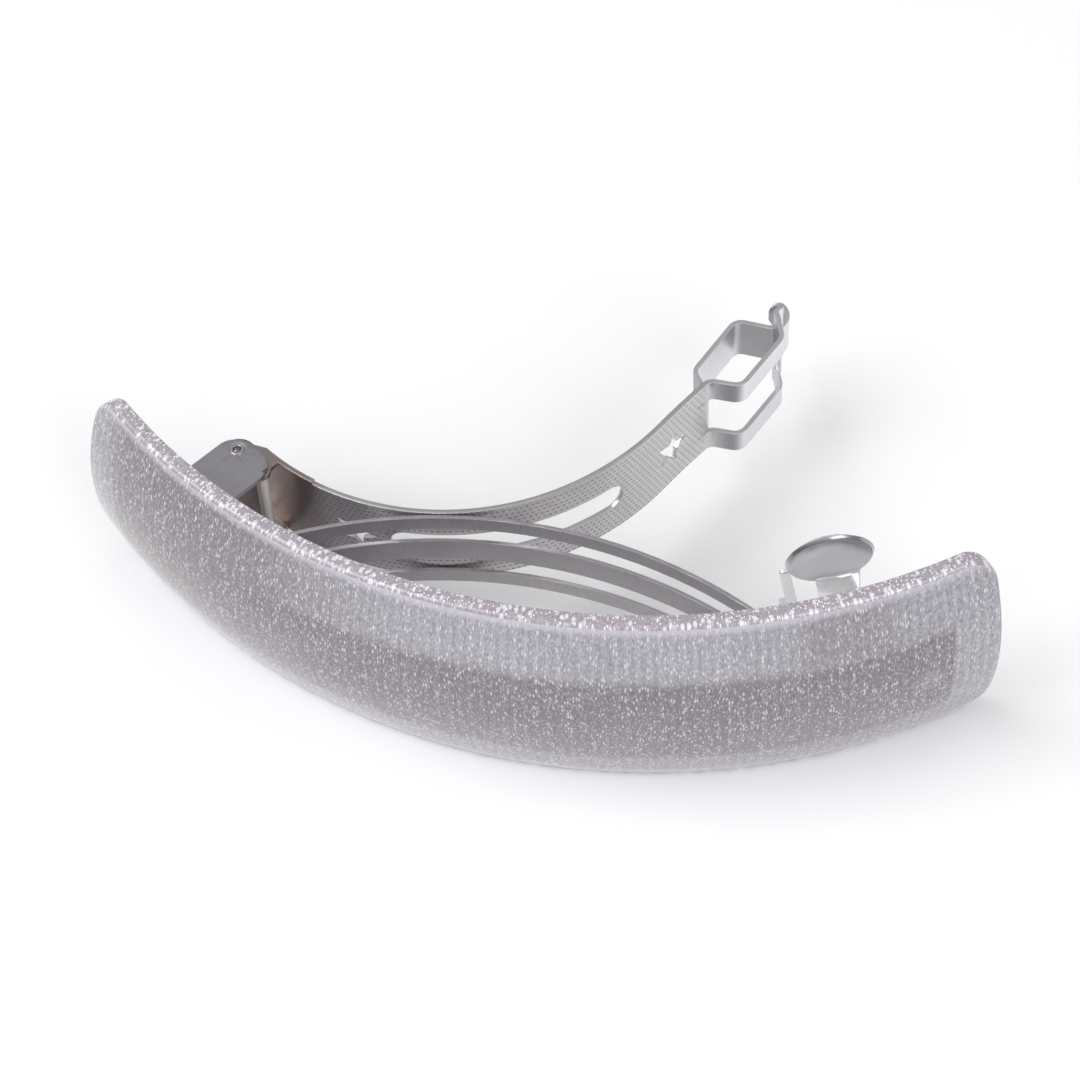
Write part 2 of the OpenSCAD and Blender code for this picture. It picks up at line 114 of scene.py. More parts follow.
@dataclass
class Nodes:
    """Short calls that add nodes to one tree and link them.

    Attributes:
        tree: The node tree that is filled.
    """

    tree: NodeTree

    def add(self, kind: str, **settings: object) -> Node:
        """Adds a node.

        Args:
            kind: The node's type name.
            **settings: Properties to set on it.

        Returns:
            The new node.
        """
        node = self.tree.nodes.new(kind)
        for key, value in settings.items():
            setattr(node, key, value)
        return node

    def feed(self, socket: Socket, value: object) -> None:
        """Links a socket to another, or sets it to a constant.

        Args:
            socket: The input to feed.
            value: An output socket, a number, a colour or a vector.
        """
        if isinstance(value, Socket):
            self.tree.links.new(value, socket)
        elif isinstance(value, tuple) and len(value) == 3 and socket.type == "RGBA":
            socket.default_value = (*value, 1.0)
        else:
            socket.default_value = value

    def math(self, operation: str, a: object, b: object = 0.0, clamp: bool = False) -> Socket:
        """Adds a Math node.

        Args:
            operation: Its operation.
            a: First input.
            b: Second input.
            clamp: Whether the result stays from 0 to 1.

        Returns:
            The result.
        """
        node = self.add("ShaderNodeMath", operation=operation, use_clamp=clamp)
        self.feed(node.inputs[0], a)
        self.feed(node.inputs[1], b)
        return node.outputs[0]

    def times(self, a: object, b: object, clamp: bool = False) -> Socket:
        """Multiplies two numbers.

        Args:
            a: First number.
            b: Second number.
            clamp: Whether the result stays from 0 to 1.

        Returns:
            Their product.
        """
        return self.math("MULTIPLY", a, b, clamp)

    def plus(self, a: object, b: object, clamp: bool = False) -> Socket:
        """Adds two numbers.

        Args:
            a: First number.
            b: Second number.
            clamp: Whether the result stays from 0 to 1.

        Returns:
            Their sum.
        """
        return self.math("ADD", a, b, clamp)

    def minus(self, a: object, b: object, clamp: bool = False) -> Socket:
        """Takes one number from another.

        Args:
            a: First number.
            b: Second number.
            clamp: Whether the result stays from 0 to 1.

        Returns:
            Their difference.
        """
        return self.math("SUBTRACT", a, b, clamp)

    def mix(self, factor: object, a: object, b: object) -> Socket:
        """Mixes two colours.

        Args:
            factor: 0 gives a, 1 gives b.
            a: First colour.
            b: Second colour.

        Returns:
            The mixed colour.
        """
        node = self.add("ShaderNodeMix", data_type="RGBA")
        self.feed(node.inputs["Factor"], factor)
        self.feed(node.inputs[6], a)
        self.feed(node.inputs[7], b)
        return node.outputs[2]

    def axes(self, at: Socket) -> tuple[Socket, Socket, Socket]:
        """Splits a vector.

        Args:
            at: The vector.

        Returns:
            Its X, Y and Z.
        """
        node = self.add("ShaderNodeSeparateXYZ")
        self.feed(node.inputs[0], at)
        return node.outputs["X"], node.outputs["Y"], node.outputs["Z"]

    def brighten(self, colour: Socket, factor: Socket) -> Socket:
        """Multiplies a colour by a number.

        Args:
            colour: The colour.
            factor: The number.

        Returns:
            The brightened colour.
        """
        node = self.add("ShaderNodeVectorMath", operation="SCALE")
        self.feed(node.inputs[0], colour)
        self.feed(node.inputs["Scale"], factor)
        return node.outputs[0]

    def smooth(self, value: object, low: float, high: float) -> Socket:
        """Rises smoothly from 0 at low to 1 at high.

        Args:
            value: The input.
            low: Where the result is 0.
            high: Where the result is 1; it may be below low.

        Returns:
            The mask.
        """
        node = self.add("ShaderNodeMapRange", interpolation_type="SMOOTHSTEP")
        self.feed(node.inputs["Value"], value)
        if low <= high:
            limits = (low, high, 0.0, 1.0)
        else:
            limits = (high, low, 1.0, 0.0)
        for name, limit in zip(("From Min", "From Max", "To Min", "To Max"), limits):
            node.inputs[name].default_value = limit
        return node.outputs["Result"]

    def band(self, value: object, low: float, high: float, soft: float) -> Socket:
        """A mask that is 1 between low and high, with soft sides.

        Args:
            value: The input.
            low: Lower limit.
            high: Upper limit.
            soft: Width of each side.

        Returns:
            The mask.
        """
        rise = self.smooth(value, low - soft / 2, low + soft / 2)
        fall = self.smooth(value, high + soft / 2, high - soft / 2)
        return self.math("MULTIPLY", rise, fall)

    def noise(self, at: Socket, scale: float, detail: float = 2.0, rough: float = 0.5) -> Socket:
        """Noise from 0 to 1.

        Args:
            at: The coordinates.
            scale: Its scale.
            detail: Its detail.
            rough: Its roughness.

        Returns:
            The noise value.
        """
        node = self.add("ShaderNodeTexNoise")
        self.feed(node.inputs["Vector"], at)
        node.inputs["Scale"].default_value = scale
        node.inputs["Detail"].default_value = detail
        node.inputs["Roughness"].default_value = rough
        return node.outputs["Fac"]

    def stretch(self, at: Socket, sizes: tuple[float, float, float]) -> Socket:
        """Divides coordinates by a size along each axis.

        Args:
            at: The coordinates.
            sizes: How long one unit becomes along each axis.

        Returns:
            The scaled coordinates.
        """
        node = self.add("ShaderNodeMapping")
        self.feed(node.inputs["Vector"], at)
        node.inputs["Scale"].default_value = tuple(1.0 / size for size in sizes)
        return node.outputs["Vector"]

    def flakes(self, at: Socket, sizes: tuple[float, float], share: float, reach: float) -> Socket:
        """Small bright points scattered over a surface.

        Args:
            at: The coordinates.
            sizes: A cell's size along and across.
            share: The share of cells that hold a flake.
            reach: How far a flake reaches from the middle of its cell.

        Returns:
            A mask that is 1 in the middle of each flake.
        """
        cells = self.add("ShaderNodeTexVoronoi", voronoi_dimensions="2D", feature="F1")
        self.feed(cells.inputs["Vector"], self.stretch(at, (*sizes, 1.0)))
        cells.inputs["Scale"].default_value = 1.0
        pick = self.add("ShaderNodeSeparateColor")
        self.feed(pick.inputs[0], cells.outputs["Color"])
        chosen = self.smooth(pick.outputs[0], 1.0 - share, 1.0 - share * 0.6)
        near = self.smooth(cells.outputs["Distance"], reach, reach * 0.3)
        return self.math("MULTIPLY", chosen, near)


def shader_group(name: str, inputs: tuple, outputs: tuple) -> tuple[Nodes, Node, Node]:
    """Starts a shader node group.

    Args:
        name: The group's name.
        inputs: (name, socket type) pairs.
        outputs: (name, socket type) pairs.

    Returns:
        The group's nodes, its input node and its output node.
    """
    tree = bpy.data.node_groups.new(name, "ShaderNodeTree")
    for label, kind in inputs:
        tree.interface.new_socket(label, in_out="INPUT", socket_type=kind)
    for label, kind in outputs:
        tree.interface.new_socket(label, in_out="OUTPUT", socket_type=kind)
    nodes = Nodes(tree)
    return nodes, nodes.add("NodeGroupInput"), nodes.add("NodeGroupOutput")


# ---- shared effects ----


def glitter_weave_group() -> NodeTree:
    """Builds the look of the glitter fabric, read in millimetres along and across the bar, with a
    painted lighter tone where light shines through it and a painted shaded tone where parts behind block
    that light.

    Returns:
        The group, with Coordinates and Painted Shade in, and Color, Sparkle and Height out.
    """
    nodes, given, result = shader_group(
        "glitter_weave",
        (("Coordinates", "NodeSocketVector"), ("Painted Shade", "NodeSocketFloat")),
        (("Color", "NodeSocketColor"), ("Sparkle", "NodeSocketFloat"), ("Height", "NodeSocketFloat")),
    )
    at = given.outputs["Coordinates"]
    painted_shade = given.outputs["Painted Shade"]
    along, across, _ = nodes.axes(at)

    cloud = nodes.noise(nodes.stretch(at, (9.0, 6.0, 1.0)), 1.0, 3.0)
    fibre = nodes.noise(nodes.stretch(at, (0.13, 2.6, 1.0)), 1.0, 2.0, 0.6)
    grain = nodes.noise(nodes.stretch(at, (0.3, 0.42, 1.0)), 1.0, 3.0, 0.7)
    column = nodes.math("SINE", nodes.times(along, 2 * math.pi / RIB_PITCH))
    column_noise = nodes.noise(nodes.stretch(at, (1.1, 5.0, 1.0)), 1.0, 1.0)

    # Painted light: a lighter tone where light shines through the bar, and a darker tone of painted
    # shade where parts behind it block the light.
    painted_backlit_tone = nodes.mix(cloud, (0.295, 0.282, 0.312), (0.385, 0.368, 0.41))
    painted_shaded_tone = nodes.mix(cloud, (0.16, 0.136, 0.15), (0.225, 0.196, 0.213))
    tone = nodes.mix(painted_shade, painted_backlit_tone, painted_shaded_tone)

    shade = nodes.times(nodes.minus(fibre, 0.5), 0.7)
    shade = nodes.plus(shade, nodes.times(nodes.minus(grain, 0.5), 1.3))
    ribs = nodes.times(nodes.times(column, column_noise), 0.14)
    shade = nodes.plus(shade, ribs)

    dot_row = nodes.times(across, 2 * math.pi / DOT_ROW_PITCH)
    dot_column = nodes.times(along, 2 * math.pi / DOT_COLUMN_PITCH)
    dots = nodes.times(nodes.math("SINE", dot_row), nodes.math("SINE", dot_column))
    dots = nodes.smooth(nodes.math("ABSOLUTE", dots), 0.62, 0.98)
    near_end = nodes.smooth(nodes.math("ABSOLUTE", along), 33.0, 42.0)
    dots = nodes.times(dots, nodes.plus(nodes.times(near_end, 0.17), 0.02))
    shade = nodes.minus(shade, dots)

    lit = nodes.brighten(tone, nodes.plus(shade, 1.0))

    coarse = nodes.flakes(at, (0.27, 0.78), 0.22, 0.42)
    fine = nodes.flakes(at, (0.15, 0.42), 0.40, 0.55)
    crossing = nodes.smooth(column, 0.1, 0.9)
    lively = nodes.plus(nodes.times(crossing, 0.35), 0.65)
    sparkle = nodes.math("MAXIMUM", coarse, nodes.times(fine, 0.5))
    sparkle = nodes.times(sparkle, lively, clamp=True)
    colour = nodes.mix(sparkle, lit, (0.80, 0.785, 0.83))

    nodes.feed(result.inputs["Color"], colour)
    nodes.feed(result.inputs["Sparkle"], sparkle)
    nodes.feed(result.inputs["Height"], nodes.plus(grain, nodes.times(fibre, 0.5)))
    return nodes.tree


def steel_grain_group() -> NodeTree:
    """Builds the fine grain, handling marks and uneven polish of plated sheet steel.

    Returns:
        The group, with Coordinates, Tint, Base Roughness and Grain in, and Color, Roughness and
        Height out.
    """
    nodes, given, result = shader_group(
        "steel_grain",
        (
            ("Coordinates", "NodeSocketVector"),
            ("Tint", "NodeSocketColor"),
            ("Base Roughness", "NodeSocketFloat"),
            ("Grain", "NodeSocketFloat"),
        ),
        (("Color", "NodeSocketColor"), ("Roughness", "NodeSocketFloat"), ("Height", "NodeSocketFloat")),
    )
    at = given.outputs["Coordinates"]
    fine = nodes.noise(nodes.stretch(at, (0.12, 0.12, 0.35)), 1.0, 3.0, 0.65)
    brush = nodes.noise(nodes.stretch(at, (0.09, 0.09, 3.0)), 1.0, 2.0, 0.6)
    cloud = nodes.noise(nodes.stretch(at, (3.5, 3.5, 5.0)), 1.0, 3.0, 0.6)
    both = nodes.plus(nodes.times(fine, 0.6), nodes.times(brush, 0.4))
    lift = nodes.times(nodes.minus(both, 0.5), given.outputs["Grain"])
    patch = nodes.times(nodes.minus(cloud, 0.5), 0.22)
    bright = nodes.plus(nodes.plus(lift, patch), 1.0)
    rough = nodes.plus(given.outputs["Base Roughness"], nodes.times(lift, 0.3))
    rough = nodes.plus(rough, nodes.times(patch, 0.25), clamp=True)
    nodes.feed(result.inputs["Color"], nodes.brighten(given.outputs["Tint"], bright))
    nodes.feed(result.inputs["Roughness"], rough)
    nodes.feed(result.inputs["Height"], both)
    return nodes.tree


# ---- finishes ----


@dataclass(frozen=True)
class Finish:
    """What all finishes share.

    Attributes:
        name: The material's name.
    """

    name: str

    def start(self) -> tuple[Material, Nodes, Node]:
        """Makes an empty material with a Principled shader.

        Returns:
            The material, its nodes and the shader.
        """
        material = bpy.data.materials.new(self.name)
        material.use_nodes = True
        material.node_tree.nodes.clear()
        nodes = Nodes(material.node_tree)
        shader = nodes.add("ShaderNodeBsdfPrincipled")
        output = nodes.add("ShaderNodeOutputMaterial")
        nodes.feed(output.inputs["Surface"], shader.outputs[0])
        return material, nodes, shader

    @staticmethod
    def bump(nodes: Nodes, shader: Node, height: Socket, strength: float, distance: float) -> None:
        """Adds a bump to the shader's normal.

        Args:
            nodes: The material's nodes.
            shader: The shader.
            height: The height, from 0 to 1.
            strength: The bump's strength.
            distance: The bump's full height in metres.
        """
        bump = nodes.add("ShaderNodeBump")
        nodes.feed(bump.inputs["Height"], height)
        bump.inputs["Strength"].default_value = strength
        bump.inputs["Distance"].default_value = distance
        nodes.feed(shader.inputs["Normal"], bump.outputs[0])


@dataclass(frozen=True)
class GlitterUnderAcetate(Finish):
    """Glitter fabric seen through polished clear acetate, with painted shade where steel lies behind it
    and painted highlights along its rims.

    Attributes:
        weave: The glitter weave group.
        coat: Gloss of the acetate, 0 for bare fabric.
        from_behind: Whether this is the hair side, where the painted shade is weaker.
        strip_across: Where the painted shade of the steel strip lies, across the bar, in millimetres.
        strip_along: Where it lies along the bar.
        eyelet_at: Where the catch's eyelet lies; the painted shade is lifted there to a pale spot.
    """

    weave: NodeTree
    coat: float = 1.0
    from_behind: bool = False
    strip_across: tuple[float, float] = (-6.5, 6.2)
    strip_along: tuple[float, float] = (-45.6, 44.9)
    eyelet_at: tuple[float, float, float] = (42.3, 0.0, 0.0)

    def make(self) -> Material:
        """Builds the material.

        Returns:
            The material, which reads the piece's own UV map in millimetres.
        """
        material, nodes, shader = self.start()
        at = nodes.add("ShaderNodeUVMap", uv_map="sheet_mm").outputs[0]
        along, across, _ = nodes.axes(at)
        # Painted shade of the steel strip, where it blocks the light shining through the bar; its border
        # wavers.
        waver = nodes.noise(nodes.stretch(at, (2.0, 2.0, 1.0)), 1.0, 2.0)
        wavy = nodes.times(nodes.minus(waver, 0.5), 1.5)
        wavy = nodes.plus(across, wavy)
        strip = nodes.times(
            nodes.band(wavy, *self.strip_across, 1.7),
            nodes.band(along, *self.strip_along, 0.9),
        )
        # More painted shade towards the hinge, at the catch and along the lower part of the bar.
        hinge_side = nodes.times(
            nodes.smooth(along, -49.5, -43.0), nodes.smooth(along, -6.0, -30.0)
        )
        hinge_shade = nodes.times(hinge_side, 0.95)
        catch_shade = nodes.times(nodes.band(along, 29.5, 39.0, 4.0), 0.5)
        lower_shade = nodes.times(nodes.smooth(across, -5.0, -8.0), 0.42)
        behind = nodes.math("MAXIMUM", nodes.math("MAXIMUM", hinge_shade, catch_shade), lower_shade)
        painted_shade = nodes.math("MAXIMUM", strip, behind)
        # The painted shade is lifted to a pale spot around the catch's eyelet.
        eyelet = nodes.add("ShaderNodeVectorMath", operation="DISTANCE")
        nodes.feed(eyelet.inputs[0], at)
        eyelet.inputs[1].default_value = self.eyelet_at
        spot = nodes.times(nodes.smooth(eyelet.outputs["Value"], 2.1, 0.8), 0.45)
        painted_shade = nodes.minus(painted_shade, spot, clamp=True)
        # The hair side gets weaker painted shade.
        if self.from_behind:
            painted_shade = nodes.times(painted_shade, 0.55)
        weave = nodes.add("ShaderNodeGroup", node_tree=self.weave)
        nodes.feed(weave.inputs["Coordinates"], at)
        nodes.feed(weave.inputs["Painted Shade"], painted_shade)
        # Painted highlights along the lower and upper rims, lightening the colour towards pale lavender.
        lower_painted_highlight = nodes.times(nodes.smooth(across, -9.4, -12.2), 0.85)
        upper_painted_highlight = nodes.times(nodes.smooth(across, 11.3, 12.1), 0.5)
        rim_painted_highlight = nodes.math("MAXIMUM", lower_painted_highlight, upper_painted_highlight)
        colour = nodes.mix(rim_painted_highlight, weave.outputs["Color"], (0.72, 0.705, 0.79))
        nodes.feed(shader.inputs["Base Color"], colour)
        metal = nodes.times(weave.outputs["Sparkle"], 0.35)
        nodes.feed(shader.inputs["Metallic"], metal)
        rough = nodes.minus(0.52, nodes.times(weave.outputs["Sparkle"], 0.3))
        nodes.feed(shader.inputs["Roughness"], rough)
        shader.inputs["Coat Weight"].default_value = self.coat
        shader.inputs["Coat Roughness"].default_value = 0.05
        shader.inputs["Coat IOR"].default_value = 1.48
        self.bump(nodes, shader, weave.outputs["Height"], 0.25, 0.08 * MM)
        return material


@dataclass(frozen=True)
class AcetateEdge(Finish):
    """The cut and polished edge of the laminate, which magnifies the glitter inside it."""

    def make(self) -> Material:
        """Builds the material.

        Returns:
            The material, which reads length and depth in millimetres from the UV map.
        """
        material, nodes, shader = self.start()
        at = nodes.add("ShaderNodeUVMap", uv_map="sheet_mm").outputs[0]
        cloud = nodes.noise(nodes.stretch(at, (2.6, 0.9, 1.0)), 1.0, 3.0)
        tone = nodes.mix(cloud, (0.25, 0.205, 0.23), (0.38, 0.34, 0.375))
        grain = nodes.noise(nodes.stretch(at, (0.2, 0.25, 1.0)), 1.0, 3.0, 0.7)
        tone = nodes.mix(nodes.smooth(grain, 0.38, 0.68), tone, (0.52, 0.48, 0.53))
        patches = nodes.times(nodes.flakes(at, (0.62, 0.8), 0.6, 0.46), 0.7)
        specks = nodes.flakes(at, (0.24, 0.3), 0.34, 0.46)
        colour = nodes.mix(nodes.math("MAXIMUM", patches, specks), tone, (0.97, 0.95, 0.99))
        nodes.feed(shader.inputs["Base Color"], colour)
        shader.inputs["Roughness"].default_value = 0.32
        shader.inputs["Coat Weight"].default_value = 0.9
        shader.inputs["Coat Roughness"].default_value = 0.08
        return material


@dataclass(frozen=True)
class PlatedSteel(Finish):
    """Nickel-plated sheet steel.

    Attributes:
        grain_group: The steel grain group.
        tint: Its colour.
        roughness: Its mean roughness.
        grain: How strong the grain is.
        bump_mm: Height of the grain in millimetres.
    """

    grain_group: NodeTree
    tint: Colour = (0.60, 0.585, 0.58)
    roughness: float = 0.25
    grain: float = 0.3
    bump_mm: float = 0.004

    def dress(self) -> tuple[Material, Nodes, Node, Node]:
        """Builds the plain plated steel.

        Returns:
            The material, its nodes, its shader and the grain node.
        """
        material, nodes, shader = self.start()
        spot = nodes.add("ShaderNodeTexCoord").outputs["Object"]
        at = nodes.stretch(spot, (MM, MM, MM))
        grain = nodes.add("ShaderNodeGroup", node_tree=self.grain_group)
        nodes.feed(grain.inputs["Coordinates"], at)
        grain.inputs["Tint"].default_value = (*self.tint, 1.0)
        grain.inputs["Base Roughness"].default_value = self.roughness
        grain.inputs["Grain"].default_value = self.grain
        nodes.feed(shader.inputs["Base Color"], grain.outputs["Color"])
        nodes.feed(shader.inputs["Roughness"], grain.outputs["Roughness"])
        shader.inputs["Metallic"].default_value = 1.0
        return material, nodes, shader, grain

    def make(self) -> Material:
        """Builds the material.

        Returns:
            The material, on Object coordinates.
        """
        material, nodes, shader, grain = self.dress()
        self.bump(nodes, shader, grain.outputs["Height"], 0.6, self.bump_mm * MM)
        return material


@dataclass(frozen=True)
class DimpledSteel(PlatedSteel):
    """Plated steel with rows of small stamped dimples that follow the arm's curve, with light and shade
    painted on by place.

    Attributes:
        centre: Middle of the arm's curve in X and Y, in metres.
        radius: Radius of the curve, in metres.
        from_deg: Direction from the middle at which the dimples start.
        to_deg: Direction at which they stop.
        pitch_mm: Distance between dimples along and across the arm.
        heel: The heel's axis in X and Y, in metres, where a white reflection is painted.
        cage_root: Where the cage starts, in X and Y, in metres.
        cage_deg: The cage's direction.
    """

    centre: tuple[float, float] = (0.0, 0.0)
    radius: float = 0.025
    from_deg: float = -120.0
    to_deg: float = 0.0
    pitch_mm: tuple[float, float] = (0.58, 0.6)
    heel: tuple[float, float] = (0.0, 0.0)
    cage_root: tuple[float, float] = (0.0, 0.0)
    cage_deg: float = 69.0

    def paint_light_and_shade(
        self, nodes: Nodes, plain: Socket, x: Socket, y: Socket, facing: tuple[Socket, Socket, Socket]
    ) -> tuple[Socket, Socket]:
        """Paints light and shade onto the arm by place: painted brown shade at the hinge end, a painted
        reflection on the heel, a painted highlight on the cage's rails and painted shade on the cage's
        turned faces.

        Args:
            nodes: The material's nodes.
            plain: The plain plating's colour.
            x: Object X in metres.
            y: Object Y in metres.
            facing: The true normal's X, Y and Z.

        Returns:
            The colour, and a mask of the heel's painted reflection.
        """
        east, north = math.cos(math.radians(self.cage_deg)), math.sin(math.radians(self.cage_deg))
        ahead_x = nodes.times(nodes.minus(x, self.cage_root[0]), east)
        ahead_y = nodes.times(nodes.minus(y, self.cage_root[1]), north)
        in_cage = nodes.smooth(nodes.plus(ahead_x, ahead_y), -0.6 * MM, 0.6 * MM)
        tilt = nodes.plus(
            nodes.times(facing[0], east),
            nodes.times(facing[1], north),
        )
        bend = nodes.smooth(nodes.math("ABSOLUTE", tilt), 0.3, 0.95)
        # Painted highlight: the cage's rails are lightened.
        painted_rail_highlight = nodes.times(in_cage, 0.7)
        colour = nodes.mix(painted_rail_highlight, plain, (0.86, 0.85, 0.87))
        # Painted shade on the cage's faces that turn along its direction.
        painted_bend_shade = nodes.times(nodes.times(in_cage, bend), 0.8)
        colour = nodes.mix(painted_bend_shade, colour, (0.24, 0.23, 0.24))
        # Painted brown shade between the flanges at the hinge end.
        painted_hinge_end_shade = nodes.times(nodes.smooth(x, -20.0 * MM, -23.5 * MM), 0.9)
        colour = nodes.mix(painted_hinge_end_shade, colour, (0.42, 0.345, 0.32))
        # Painted reflection: the heel's sides are painted near white.
        off_x = nodes.math("POWER", nodes.minus(x, self.heel[0]), 2.0)
        off_y = nodes.math("POWER", nodes.minus(y, self.heel[1]), 2.0)
        off = nodes.math("SQRT", nodes.plus(off_x, off_y))
        heel_painted_reflection = nodes.smooth(off, 0.72 * MM, 0.5 * MM)
        level = nodes.smooth(nodes.math("ABSOLUTE", facing[2]), 0.6, 0.3)
        heel_painted_reflection = nodes.times(heel_painted_reflection, level)
        return nodes.mix(heel_painted_reflection, colour, (0.98, 0.93, 0.89)), heel_painted_reflection

    def make(self) -> Material:
        """Builds the material.

        Returns:
            The material, on Object coordinates turned into lengths along the arm.
        """
        material, nodes, shader, grain = self.dress()
        spot = nodes.axes(nodes.add("ShaderNodeTexCoord").outputs["Object"])
        dx = nodes.minus(spot[0], self.centre[0])
        dy = nodes.minus(spot[1], self.centre[1])
        turn = nodes.math("ARCTAN2", dy, dx)
        along = nodes.times(turn, self.radius / MM)
        across = nodes.math("DIVIDE", spot[2], MM)
        row = nodes.math("DIVIDE", across, self.pitch_mm[1])
        odd = nodes.math("FLOORED_MODULO", nodes.math("FLOOR", row), 2.0)
        column = nodes.math("DIVIDE", along, self.pitch_mm[0])
        column = nodes.plus(column, nodes.times(odd, 0.5))
        x = nodes.minus(nodes.math("FRACT", column), 0.5)
        y = nodes.minus(nodes.math("FRACT", row), 0.5)
        x = nodes.math("POWER", nodes.math("DIVIDE", nodes.math("ABSOLUTE", x), 0.36), 2.0)
        y = nodes.math("POWER", nodes.math("DIVIDE", nodes.math("ABSOLUTE", y), 0.27), 2.0)
        dimple = nodes.smooth(nodes.plus(x, y), 1.0, 0.25)
        low, high = math.radians(self.from_deg), math.radians(self.to_deg)
        dimple = nodes.times(dimple, nodes.band(turn, low, high, 0.03))
        facing = nodes.axes(nodes.add("ShaderNodeNewGeometry").outputs["True Normal"])
        broad = nodes.smooth(nodes.math("ABSOLUTE", facing[2]), 0.4, 0.1)
        dimple = nodes.times(dimple, broad)
        # The arm's light and shade, painted on by place.
        colour_with_painted_light, heel_painted_reflection = self.paint_light_and_shade(nodes, grain.outputs["Color"], spot[0], spot[1], facing)
        # Painted shade in the dimples' hollows darkens the colour.
        colour = nodes.mix(nodes.times(dimple, 0.5), colour_with_painted_light, (0.12, 0.11, 0.12))
        nodes.feed(shader.inputs["Base Color"], colour)
        # Less metallic where the heel's reflection is painted.
        metal = nodes.minus(1.0, nodes.times(heel_painted_reflection, 0.95))
        nodes.feed(shader.inputs["Metallic"], metal)
        height = nodes.minus(nodes.times(grain.outputs["Height"], 0.1), dimple)
        self.bump(nodes, shader, height, 0.9, 0.07 * MM)
        return material


@dataclass(frozen=True)
class SteelWithPaintedReflection(PlatedSteel):
    """Plated steel of the catch with painted light: a painted white reflection at each dish's foot fades
    to painted grey shade at its far rim.

    Attributes:
        mid_z: Height of the catch's middle, in metres.
        painted_white_from: Distance from the middle at which the painted white reflection is strongest,
            in metres.
        painted_grey_from: Distance from the middle at which the painted grey shade is strongest, in
            metres.
    """

    mid_z: float = 0.0
    painted_white_from: float = 5.4 * MM
    painted_grey_from: float = 8.6 * MM

    def make(self) -> Material:
        """Builds the material.

        Returns:
            The material, on Object coordinates.
        """
        material, nodes, shader, grain = self.dress()
        spot = nodes.add("ShaderNodeTexCoord").outputs["Object"]
        away = nodes.math("ABSOLUTE", nodes.minus(nodes.axes(spot)[2], self.mid_z))
        # Painted reflection: white near the catch's middle height, turning to painted grey shade further
        # out across a noisy border, and more metallic there.
        cloud = nodes.noise(nodes.stretch(spot, (3.0 * MM, 3.0 * MM, 3.0 * MM)), 1.0, 2.0)
        uneven = nodes.times(nodes.minus(cloud, 0.5), 4.0 * MM)
        uneven = nodes.plus(away, uneven)
        grey = nodes.smooth(uneven, self.painted_white_from, self.painted_grey_from)
        # The neck keeps half of the plain plating's colour under the painted white.
        neck = nodes.times(nodes.smooth(away, 3.4 * MM, 2.3 * MM), 0.5)
        colour = nodes.mix(grey, (0.97, 0.965, 0.97), (0.40, 0.39, 0.405))
        colour = nodes.mix(neck, colour, grain.outputs["Color"])
        nodes.feed(shader.inputs["Base Color"], colour)
        metal = nodes.plus(nodes.times(grey, 0.5), 0.25)
        nodes.feed(shader.inputs["Metallic"], metal)
        self.bump(nodes, shader, grain.outputs["Height"], 0.6, self.bump_mm * MM)
        return material


@dataclass(frozen=True)
class CuredAdhesive(Finish):
    """Hazy clear adhesive between the bar and the strip."""

    def make(self) -> Material:
        """Builds the material.

        Returns:
            The material, on Object coordinates.
        """
        material, nodes, shader = self.start()
        at = nodes.stretch(nodes.add("ShaderNodeTexCoord").outputs["Object"], (MM, MM, MM))
        haze = nodes.noise(nodes.stretch(at, (0.9, 0.9, 0.9)), 1.0, 4.0, 0.65)
        nodes.feed(shader.inputs["Base Color"], nodes.mix(haze, (0.46, 0.44, 0.45), (0.68, 0.66, 0.68)))
        nodes.feed(shader.inputs["Roughness"], nodes.plus(nodes.times(haze, 0.3), 0.25))
        self.bump(nodes, shader, haze, 0.4, 0.05 * MM)
        return material


@dataclass(frozen=True)
class PaleGround(Finish):
    """Plain pale floor."""

    def make(self) -> Material:
        """Builds the material.

        Returns:
            The material.
        """
        material, _, shader = self.start()
        shader.inputs["Base Color"].default_value = (0.97, 0.97, 0.97, 1.0)
        shader.inputs["Roughness"].default_value = 0.8
        shader.inputs["Specular IOR Level"].default_value = 0.1
        return material


# ---- mesh helpers ----


def add_piece(name: str, bm: BMesh, materials: list[Material]) -> Object:
    """Turns a bmesh into a finished object at the origin.

    Args:
        name: The piece's name.
        bm: The mesh, which is freed.
        materials: Its materials, in slot order.

    Returns:
        The new object.
    """
    mesh = bpy.data.meshes.new(name)
    bm.to_mesh(mesh)
    bm.free()
    for material in materials:
        mesh.materials.append(material)
    mesh.shade_smooth()
    mesh.set_sharp_from_angle(angle=math.radians(SHARP_DEG))
    piece = bpy.data.objects.new(name, mesh)
    bpy.context.scene.collection.objects.link(piece)
    return piece


def keep_flats_flat(piece: Object) -> None:
    """Weights a piece's normals by face area, so that its flats stay flat beside rounded edges.

    Args:
        piece: The piece.
    """
    weighted = piece.modifiers.new("flat_faces", "WEIGHTED_NORMAL")
    weighted.mode = "FACE_AREA"
    weighted.weight = 50
    weighted.keep_sharp = True


def welded_copy(node: str) -> BMesh:
    """Copies a CAD node's mesh and joins its loose triangles into clean faces.

    Args:
        node: The CAD node.

    Returns:
        The joined mesh.
    """
    bm = bmesh.new()
    bm.from_mesh(frame["nodes"][node].data)
    bmesh.ops.remove_doubles(bm, verts=bm.verts, dist=0.001 * MM)
    bmesh.ops.dissolve_degenerate(bm, dist=0.02 * MM, edges=bm.edges)
    bmesh.ops.triangulate(bm, faces=[f for f in bm.faces if len(f.verts) > 3])
    return bm


